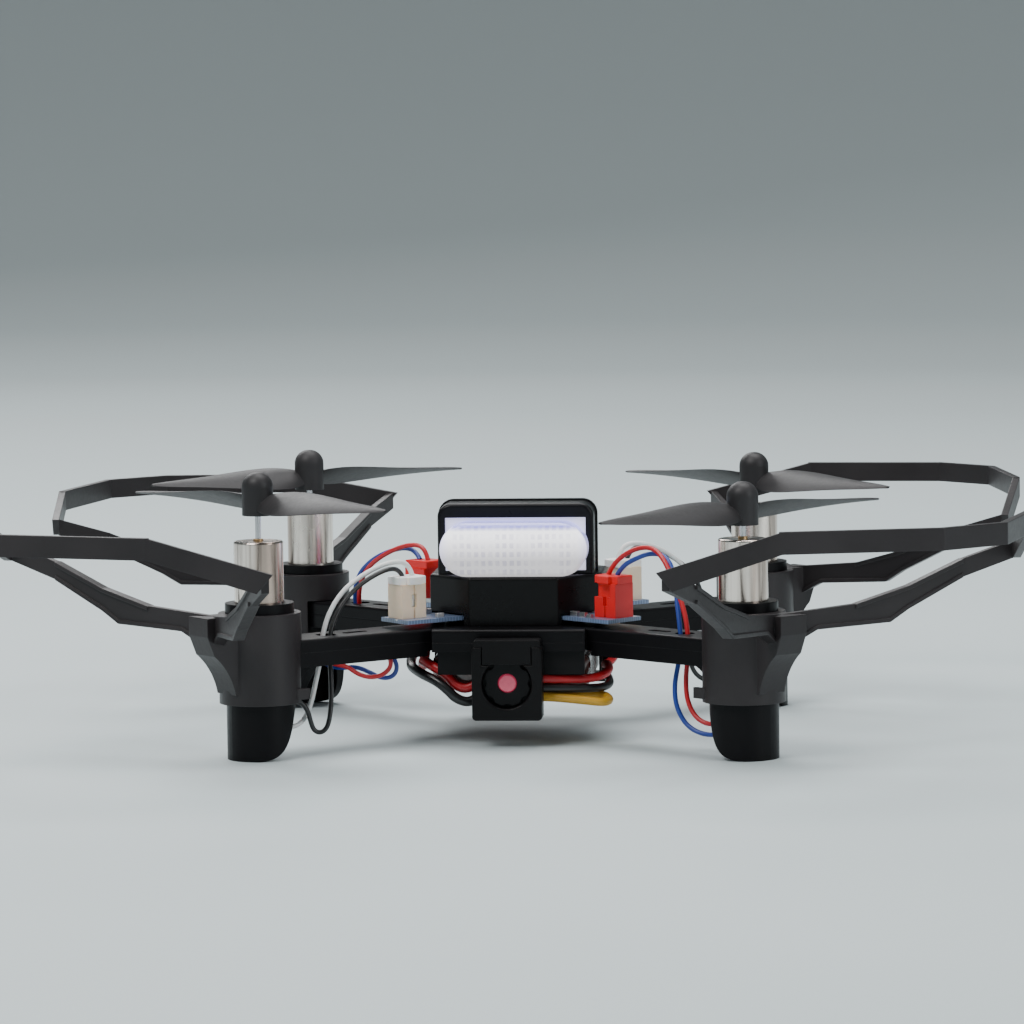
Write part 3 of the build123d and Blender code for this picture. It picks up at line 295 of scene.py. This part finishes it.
def solder_mask(name, color):
    """Coated circuit board with tracks showing through and small tinned pads."""
    look = Shader(name, color, 0.3)
    tracks = look.nodes.new("ShaderNodeTexBrick")
    tracks.inputs["Scale"].default_value = 620
    tracks.inputs["Mortar Size"].default_value = 0.035
    look.link(look.coords, tracks.inputs["Vector"])
    lines = look.spread(tracks.outputs["Fac"], 0, 1, 0, 1)
    pads = look.nodes.new("ShaderNodeTexVoronoi")
    pads.inputs["Scale"].default_value = 420
    look.link(look.coords, pads.inputs["Vector"])
    spots = look.spread(pads.outputs["Distance"], 1, 0, 0.16, 0.2)
    body = look.mix(lines, color, tuple(min(1, c * 1.5 + 0.03) for c in color))
    look.paint(look.mix(look.math("MULTIPLY", spots, 0.8), body, (0.72, 0.74, 0.76)))
    look.link(look.math("MULTIPLY", spots, 0.8), look.bsdf.inputs["Metallic"])
    look.bump(look.math("ADD", lines, spots), 0.03 * MM, 0.6)
    look.set("Coat Weight", 0.5)
    look.set("Coat Roughness", 0.15)
    return look.material


def film(name):
    """Dark pouch cell under reddish shrink film."""
    look = Shader(name, (0.1, 0.03, 0.03), 0.22)
    fold = look.noise(160, 5, (1, 2.4, 1))
    look.paint(look.mix(look.spread(fold, 0, 1), (0.05, 0.035, 0.035), (0.26, 0.09, 0.07)))
    look.roughen(look.spread(fold, 0.14, 0.38))
    look.bump(fold, 0.35 * MM, 0.8)
    look.set("Coat Weight", 0.8)
    look.set("Coat Roughness", 0.12)
    return look.material


def lamp_body(name):
    """Clear pale plastic behind the lamp's cover, filled with its light."""
    look = Shader(name, (0.85, 0.85, 0.95), 0.3)
    cloud = look.noise(300, 3)
    look.link(look.mix(look.spread(cloud, 0, 1), (0.9, 0.9, 1.0), (0.75, 0.75, 1.0)),
              look.bsdf.inputs["Emission Color"])
    look.set("Emission Strength", 0.75)
    look.round_edges(0.2 * MM)
    return look.material


CELL_ACROSS = 1.25          # millimetres from one moulded square of the cover to the next
CELL_UP = 1.55


def diffuser(name):
    """The lamp's milky cover: moulded squares in rows, glowing, violet along its top."""
    look = Shader(name, (0.8, 0.8, 0.84), 0.25)
    split = look.nodes.new("ShaderNodeSeparateXYZ")
    look.link(look.coords, split.inputs["Vector"])
    lens_low, lens_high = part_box("lamp_lens")
    middle = (lens_low + lens_high) / 2
    half = (lens_high.z - lens_low.z) / 2
    half_wide = (lens_high.x - lens_low.x) / 2
    height = look.math("MULTIPLY", look.math("SUBTRACT", split.outputs["Z"], middle.z), 1 / half)
    across = look.math("MULTIPLY", look.math("SUBTRACT", split.outputs["X"], middle.x), 1 / half_wide)
    depth = look.math("MULTIPLY", look.math("SUBTRACT", split.outputs["Y"], lens_low.y), 1 / MM)
    # rows of moulded squares, patchy, and none near the round ends
    wobble = look.math("MULTIPLY", look.math("SUBTRACT", look.noise(500, 2), 0.5), 1.3)
    columns = look.math("SINE", look.math("ADD", wobble, look.math(
        "MULTIPLY", split.outputs["X"], 2 * math.pi / (CELL_ACROSS * MM))))
    rows = look.math("SINE", look.math("ADD", wobble, look.math(
        "MULTIPLY", split.outputs["Z"], 2 * math.pi / (CELL_UP * MM))))
    square = look.math("MULTIPLY", look.spread(columns, 0, 1, -0.6, 0.1),
                       look.spread(rows, 0, 1, -0.6, 0.1))
    patches = look.spread(look.noise(260, 3), 0.1, 1.0, 0.38, 0.62)
    inner = look.spread(look.math("ABSOLUTE", across), 1.0, 0.0, 0.72, 0.88)
    square = look.math("MULTIPLY", look.math("MULTIPLY", square, patches), inner)
    # warm white lower down, white above, violet at the ends and along the top
    body = look.mix(look.spread(height, 0, 1, -0.5, 0.55), (0.80, 0.77, 0.77), (0.97, 0.96, 1.0))
    body = look.mix(look.math("MULTIPLY", square, 0.5), body, (0.42, 0.40, 0.55))
    rim = look.spread(look.math("ABSOLUTE", across), 0, 1, 0.86, 0.99)
    body = look.mix(look.math("MULTIPLY", rim, 0.55), body, (0.60, 0.58, 1.0))
    back = look.math("MULTIPLY", look.spread(depth, 0, 1, 0.5, 1.3), look.spread(height, 0.25, 1, 0.0, 0.8))
    crown = look.math("MULTIPLY", look.spread(height, 0, 1, 0.7, 0.86), 0.9)
    body = look.mix(look.math("MAXIMUM", back, crown), body, (0.12, 0.12, 0.6))
    look.link(body, look.bsdf.inputs["Emission Color"])
    look.link(look.spread(height, 0.85, 2.4, -0.4, 0.5), look.bsdf.inputs["Emission Strength"])
    look.paint(look.mix(square, (0.33, 0.33, 0.37), (0.19, 0.19, 0.25)))
    look.bump(look.math("ADD", square, look.noise(220, 4)), 0.12 * MM, 0.5)
    look.set("Coat Weight", 0.6)
    look.set("Coat Roughness", 0.08)
    return look.material


def emitter(name):
    """Yellowish light emitters on the lamp's board."""
    look = Shader(name, (0.9, 0.85, 0.5), 0.4)
    look.paint(look.mix(look.spread(look.noise(1500), 0, 1), (0.9, 0.8, 0.4), (0.95, 0.9, 0.7)))
    look.set("Emission Color", (0.9, 0.93, 1.0, 1.0))
    look.set("Emission Strength", 3.0)
    return look.material


def coated_lens(name):
    """Red reflection of a coated camera lens, painted into its colour and a faint red glow, though the lens
    is no lamp.
    """
    look = Shader(name, (0.42, 0.03, 0.075), 0.08)
    look.paint(look.mix(look.spread(look.noise(500, 2), 0, 1), (0.36, 0.03, 0.07), (0.5, 0.06, 0.11)))
    look.set("Coat Weight", 1.0)
    look.set("Coat Roughness", 0.03)
    # painted reflection: the lens glows faintly red
    look.set("Emission Color", (0.5, 0.03, 0.08, 1))
    look.set("Emission Strength", 0.35)
    return look.material


LOOKS = {
    "frame_black": lambda n: moulded(n, (0.004, 0.0037, 0.0045), 0.36, grain=0.03),
    "guard_black": lambda n: moulded(n, (0.024, 0.0205, 0.0218), 0.42, grain=0.03, shine=0.3),
    "screw_steel": lambda n: metal(n, (0.1, 0.1, 0.11), 0.3),
    "motor_nickel": drawn_can,
    "motor_cap_plastic": lambda n: milky(n, (0.72, 0.7, 0.66), 0.4),
    "bronze": lambda n: metal(n, (0.62, 0.42, 0.22), 0.32),
    "magnet": lambda n: metal(n, (0.42, 0.42, 0.44), 0.35),
    "rotor_steel": lambda n: metal(n, (0.66, 0.66, 0.68), 0.16),
    "propeller_grey": lambda n: moulded(n, (0.027, 0.0255, 0.027), 0.5, grain=0.01, edge=0.12, shine=0.3),
    "circuit_board": lambda n: solder_mask(n, (0.12, 0.17, 0.28)),
    "board_components": lambda n: metal(n, (0.6, 0.61, 0.63), 0.3),
    "socket_cream": lambda n: milky(n, (0.95, 0.75, 0.56), 0.4),
    "socket_red": lambda n: milky(n, (0.8, 0.014, 0.016), 0.34, 0.2),
    "plug_white": lambda n: milky(n, (0.95, 0.93, 0.9), 0.38),
    "plug_red": lambda n: milky(n, (0.84, 0.02, 0.02), 0.34, 0.2),
    "housing_black": lambda n: moulded(n, (0.006, 0.0058, 0.0062), 0.33, shine=0.16),
    "hoop_black": lambda n: moulded(n, (0.006, 0.006, 0.007), 0.3, grain=0.012, coat=0.12),
    "lamp_base_violet": lamp_body,
    "led_white": emitter,
    "lamp_diffuser": diffuser,
    "camera_black": lambda n: moulded(n, (0.0055, 0.0053, 0.0057), 0.4, grain=0.02),
    "focus_ring_black": lambda n: moulded(n, (0.005, 0.005, 0.0055), 0.32, grain=0.01),
    "lens_red": coated_lens,
    "tray_black": lambda n: moulded(n, (0.0075, 0.0072, 0.0078), 0.42),
    "battery_foil": film,
    "battery_tape": lambda n: milky(n, (0.5, 0.2, 0.06), 0.25, 0.2),
    "wire_white": lambda n: insulation(n, (0.9, 0.9, 0.89)),
    "wire_black": lambda n: insulation(n, (0.01, 0.01, 0.011), 0.32),
    "wire_red": lambda n: insulation(n, (0.6, 0.012, 0.02)),
    "wire_blue": lambda n: insulation(n, (0.02, 0.06, 0.36)),
    "wire_yellow": lambda n: insulation(n, (0.78, 0.42, 0.03)),
}
materials = {name: make(name) for name, make in LOOKS.items()}
SLOT_OF = {part["node"]: part["material_slot"] for part in frame["record"]["subparts"]}
for node, thing in NODES.items():
    for slot in thing.material_slots:
        slot.material = materials[SLOT_OF[node]]


# ---------------------------------------------------------------- wires
# Routes in millimetres, as the frame's tubes have them.
PLUG_TOP = 29.35            # where the motor leads leave their plugs
CAP = 17.5                  # where they enter the motors' end caps
SEAM = 18.0                 # where the yellow wire enters the frame's cover
CASE_BACK = -20.1           # where the camera wires leave the camera's case
EAR_CEILING = 17.2          # ends of the blind holes under the waist
CIRCUIT_SIDE = -3.0         # where the battery leads leave the protection circuit
LEAD_ROUTES = {
    "lead_front_left_white": [
        (-17.3, -13.9, PLUG_TOP), (-17.7, -14.2, 30.9), (-19.1, -15.3, 32.0), (-21.9, -17.2, 31.7),
        (-25.4, -19.3, 30.0), (-28.6, -21.8, 27.6), (-30.9, -24.3, 23.9), (-31.9, -26.0, 19.9),
        (-32.2, -26.6, 15.8), (-33.0, -27.5, 12.0), (-33.7, -28.8, 8.3), (-35.0, -30.4, 5.4),
        (-37.3, -32.4, 4.7), (-39.7, -34.6, 5.9), (-41.5, -36.3, 8.5), (-42.2, -36.9, 11.6),
        (-42.3, -36.8, 14.6), (-42.3, -36.8, CAP)],
    "lead_front_left_black": [
        (-18.9, -15.2, PLUG_TOP), (-19.4, -15.7, 30.5), (-21.0, -17.3, 30.9), (-23.7, -19.6, 29.8),
        (-26.8, -21.8, 27.6), (-29.3, -24.0, 24.4), (-30.6, -25.6, 20.6), (-30.6, -26.3, 16.8),
        (-30.3, -27.3, 13.2), (-30.1, -28.5, 10.0), (-30.2, -29.3, 7.4), (-30.5, -29.7, 5.4),
        (-31.0, -30.1, 4.2), (-32.0, -30.3, 3.65), (-33.0, -30.6, 4.1), (-33.5, -30.9, 5.6),
        (-33.9, -31.2, 7.6), (-35.0, -31.5, 9.2), (-36.6, -31.8, 9.3), (-38.3, -32.5, 8.5),
        (-39.7, -33.3, 9.3), (-40.5, -33.8, 11.0), (-40.6, -33.9, 14.3), (-40.6, -33.9, CAP)],
    "lead_front_right_red": [
        (17.3, -13.9, PLUG_TOP), (18.0, -14.5, 30.9), (20.0, -16.0, 32.9), (22.8, -17.7, 34.4),
        (25.6, -19.5, 34.5), (27.6, -21.4, 32.3), (29.2, -23.3, 28.7), (30.9, -25.2, 24.6),
        (31.7, -26.6, 20.4), (31.6, -27.0, 16.2), (31.2, -27.4, 12.2), (31.5, -28.3, 8.6),
        (33.2, -29.6, 5.7), (36.1, -31.4, 4.9), (38.9, -33.2, 6.9), (40.4, -34.0, 10.3),
        (40.6, -33.9, 14.0), (40.6, -33.9, CAP)],
    "lead_front_right_blue": [
        (18.9, -15.2, PLUG_TOP), (19.7, -15.6, 30.8), (22.0, -16.7, 32.3), (25.0, -18.1, 33.5),
        (27.7, -19.8, 33.1), (29.2, -21.6, 30.2), (29.6, -23.3, 26.2), (30.1, -24.9, 22.2),
        (30.5, -25.8, 18.4), (29.9, -26.2, 14.8), (29.2, -26.9, 11.2), (29.6, -28.0, 7.5),
        (31.6, -29.2, 4.3), (35.0, -31.1, 3.1), (38.6, -33.7, 4.1), (41.4, -36.1, 6.9),
        (42.5, -37.0, 10.6), (42.3, -36.8, 14.1), (42.3, -36.8, CAP)],
    "lead_back_left_red": [
        (-17.3, 13.9, PLUG_TOP), (-17.7, 14.2, 31.0), (-19.2, 15.2, 32.1), (-22.2, 16.6, 31.7),
        (-26.0, 18.4, 29.9), (-29.2, 20.8, 27.4), (-31.0, 23.4, 23.9), (-31.4, 25.1, 20.0),
        (-30.8, 25.8, 16.0), (-28.7, 25.0, 13.3), (-26.1, 24.1, 11.4), (-25.3, 24.4, 9.0),
        (-26.8, 25.8, 7.0), (-29.4, 27.4, 6.1), (-32.1, 29.0, 6.5), (-34.5, 30.8, 7.9),
        (-37.0, 32.2, 8.1), (-39.3, 33.2, 8.7), (-40.5, 33.8, 11.5), (-40.6, 33.9, 14.5),
        (-40.6, 33.9, CAP)],
    "lead_back_left_blue": [
        (-18.9, 15.2, PLUG_TOP), (-19.5, 15.9, 30.5), (-21.4, 17.9, 31.3), (-24.6, 20.2, 30.6),
        (-28.2, 22.2, 28.9), (-31.2, 24.4, 26.0), (-32.4, 26.3, 22.2), (-31.9, 27.0, 18.3),
        (-30.9, 27.3, 14.9), (-28.3, 26.4, 12.5), (-25.6, 25.4, 10.9), (-24.4, 25.8, 8.5),
        (-25.3, 27.1, 6.4), (-27.7, 28.5, 5.8), (-30.3, 30.2, 6.9), (-32.9, 31.8, 7.7),
        (-35.8, 33.4, 7.2), (-38.8, 35.1, 7.5), (-41.2, 36.4, 9.4), (-42.2, 36.9, 12.2),
        (-42.3, 36.8, 14.9), (-42.3, 36.8, CAP)],
    "lead_back_right_white": [
        (17.3, 13.9, PLUG_TOP), (17.8, 14.2, 31.0), (19.4, 15.1, 32.2), (22.6, 16.8, 31.9),
        (26.2, 19.1, 30.0), (29.2, 21.8, 27.0), (30.7, 24.2, 23.2), (31.0, 25.4, 19.2),
        (31.4, 25.8, 15.2), (32.4, 26.4, 11.6), (34.2, 28.2, 8.5), (36.9, 30.8, 7.2),
        (39.4, 33.0, 8.9), (40.6, 34.0, 12.0), (40.6, 33.9, 14.8), (40.6, 33.9, CAP)],
    "lead_back_right_black": [
        (18.9, 15.2, PLUG_TOP), (19.5, 15.7, 30.8), (21.2, 17.2, 31.6), (24.2, 19.7, 30.6),
        (27.5, 22.4, 28.5), (30.4, 24.9, 25.6), (32.0, 26.7, 21.8), (32.0, 27.4, 17.8),
        (30.9, 27.4, 14.0), (29.7, 27.4, 10.6), (29.9, 27.9, 7.4), (32.0, 29.1, 5.2),
        (35.2, 31.4, 4.9), (38.6, 34.2, 5.5), (41.2, 36.3, 7.9), (42.4, 37.0, 11.2),
        (42.3, 36.8, 14.4), (42.3, 36.8, CAP)],
    "battery_lead_black": [
        (CIRCUIT_SIDE, -16.9, 10.4), (-4.7, -17.3, 9.1), (-6.9, -18.4, 7.3), (-9.3, -18.9, 8.0),
        (-11.0, -18.8, 9.8), (-13.0, -18.0, 11.2), (-15.7, -16.3, 12.2), (-17.7, -13.0, 13.0),
        (-18.2, -9.4, 13.4), (-18.5, -6.1, 13.6), (-18.2, -3.6, 14.5), (-18.0, -2.5, 15.8),
        (-18.0, -2.3, EAR_CEILING)],
    "battery_lead_red": [
        (CIRCUIT_SIDE, -16.6, 12.9), (-4.9, -16.9, 11.6), (-7.2, -17.6, 9.6), (-9.5, -17.5, 10.1),
        (-11.2, -16.8, 12.2), (-13.5, -16.4, 13.4), (-15.3, -13.9, 14.2), (-15.9, -10.9, 13.8),
        (-16.2, -7.8, 12.5), (-16.4, -5.0, 12.9), (-16.3, -3.0, 14.0), (-16.2, -2.2, 15.6),
        (-16.2, -2.0, EAR_CEILING)],
    "camera_wire_red": [
        (3.0, CASE_BACK, 11.5), (3.7, -18.7, 11.5), (6.0, -18.4, 11.5), (9.4, -18.0, 11.4),
        (12.7, -17.2, 11.3), (15.6, -16.1, 11.5), (17.3, -13.9, 12.4), (16.9, -11.2, 13.3),
        (16.0, -8.6, 12.8), (16.8, -5.8, 12.8), (17.8, -3.6, 14.0), (18.0, -2.5, 15.5),
        (18.0, -2.3, EAR_CEILING)],
    "camera_wire_black": [
        (3.0, CASE_BACK, 9.9), (3.7, -18.7, 9.9), (6.0, -18.3, 9.9), (9.6, -18.1, 9.8),
        (13.1, -17.4, 9.7), (15.9, -15.9, 9.6), (17.3, -13.4, 9.9), (17.0, -10.4, 10.6),
        (16.2, -7.5, 11.1), (15.9, -4.9, 12.0), (16.2, -2.9, 13.6), (16.3, -2.1, 15.4),
        (16.3, -2.0, EAR_CEILING)],
    "camera_wire_yellow": [
        (3.0, CASE_BACK, 8.3), (3.7, -18.7, 8.3), (5.8, -18.4, 8.3), (8.6, -18.7, 8.2),
        (11.6, -18.8, 7.9), (14.2, -18.65, 7.6), (16.0, -18.5, 7.4), (17.2, -17.7, 7.4),
        (17.4, -16.3, 7.7), (16.6, -15.1, 8.1), (14.9, -14.8, 8.4), (12.1, -15.5, 8.4),
        (8.8, -16.4, 8.2), (6.2, -16.8, 8.8), (4.7, -16.6, 11.0), (4.2, -16.6, 14.7),
        (4.2, -16.7, SEAM)],
}
LEAD_WIDTHS = {"lead": 0.85, "battery": 1.75, "camera": 1.5}     # by the first word of the name


def add_wire(node, route):
    """One wire on a smooth curve through its route, in place of its plain tube."""
    width = LEAD_WIDTHS[node.split("_")[0]] * MM
    data = bpy.data.curves.new(f"{node}_wire", "CURVE")
    data.dimensions = "3D"
    data.bevel_depth = width / 2
    data.bevel_resolution = 5
    data.resolution_u = 10
    data.use_fill_caps = True
    spline = data.splines.new("NURBS")
    spline.points.add(len(route) - 1)
    for point, place in zip(spline.points, route):
        point.co = (*(c * MM for c in place), 1.0)
    spline.order_u = 3
    spline.use_endpoint_u = True
    wire = bpy.data.objects.new(f"{node}_wire", data)
    bpy.context.scene.collection.objects.link(wire)
    data.materials.append(materials[SLOT_OF[node]])
    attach(wire, "frame")
    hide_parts(node)


for node, route in LEAD_ROUTES.items():
    add_wire(node, route)


# ---------------------------------------------------------------- studio
FLOOR_MIDDLE = 0.5          # metres from the middle to the floor's first ring
FLOOR_EDGE = 1.2            # where the floor starts to curve up
COVE = 1.6                  # radius of the curve up into the wall
COVE_STEPS = 12
WALL_TOP = 4.0
AROUND = 96                 # points round each ring
LIGHTS = (
    # name, place, size, power, colour
    ("key", (-0.6, -0.7, 1.2), (0.8, 0.6), 15, (1.0, 0.985, 0.97)),
    ("fill", (1.0, -0.6, 0.5), (0.5, 0.9), 5, (0.97, 0.985, 1.0)),
    ("top", (0.1, 0.3, 1.3), (1.0, 0.8), 16, (1, 1, 1)),
    ("rim", (-0.5, 1.0, 0.7), (0.9, 0.4), 7, (1, 1, 1)),
)
LIT_POINT = Vector((0, 0, 0.03))
SKY = (0.9, 0.93, 0.95, 1)
SKY_STRENGTH = 0.42


def add_floor():
    """A floor that curves up into a plain wall all round, with a painted pool of light: pale in the middle,
    darker further out and on the wall.
    """
    rings = [(FLOOR_MIDDLE, 0.0), (FLOOR_EDGE, 0.0)]
    for step in range(1, COVE_STEPS + 1):
        turn = step / COVE_STEPS * math.pi / 2
        rings.append((FLOOR_EDGE + COVE * math.sin(turn), COVE - COVE * math.cos(turn)))
    rings.append((FLOOR_EDGE + COVE, WALL_TOP))
    mesh = bmesh.new()
    loops = []
    for radius, height in rings:
        loops.append([mesh.verts.new((radius * math.cos(2 * math.pi * k / AROUND),
                                      radius * math.sin(2 * math.pi * k / AROUND), height))
                      for k in range(AROUND)])
    mesh.faces.new(loops[0])
    for lower, upper in zip(loops, loops[1:]):
        for k in range(AROUND):
            mesh.faces.new((lower[k], upper[k], upper[(k + 1) % AROUND], lower[(k + 1) % AROUND]))
    data = bpy.data.meshes.new("floor")
    mesh.to_mesh(data)
    mesh.free()
    for face in data.polygons:
        face.use_smooth = True
    floor = bpy.data.objects.new("floor", data)
    bpy.context.scene.collection.objects.link(floor)
    look = Shader("floor", (0.535, 0.61, 0.625), 0.7)
    near = look.mix(look.spread(look.noise(6, 3), 0, 1), (0.52, 0.595, 0.61), (0.55, 0.625, 0.64))
    away = look.nodes.new("ShaderNodeVectorMath")
    away.operation = "LENGTH"
    look.link(look.coords, away.inputs[0])
    # painted pool of light: paler near the middle, darker from 0.2 to 0.9 metres out and beyond, up the
    # wall
    look.paint(look.mix(look.spread(away.outputs["Value"], 0, 1, 0.2, 0.9), near, (0.41, 0.465, 0.475)))
    floor.data.materials.append(look.material)


def add_light(name, place, size, power, color):
    """A soft rectangular light that faces the object."""
    data = bpy.data.lights.new(name, "AREA")
    data.shape = "RECTANGLE"
    data.size, data.size_y = size
    data.energy = power
    data.color = color
    light = bpy.data.objects.new(name, data)
    light.location = place
    light.rotation_euler = (LIT_POINT - Vector(place)).to_track_quat("-Z", "Y").to_euler()
    bpy.context.scene.collection.objects.link(light)


def add_sky():
    """An even pale surrounding light."""
    world = bpy.data.worlds.new("world")
    world.use_nodes = True
    sky = world.node_tree.nodes["Background"]
    sky.inputs["Color"].default_value = SKY
    sky.inputs["Strength"].default_value = SKY_STRENGTH
    bpy.context.scene.world = world


add_floor()
for light in LIGHTS:
    add_light(*light)
add_sky()
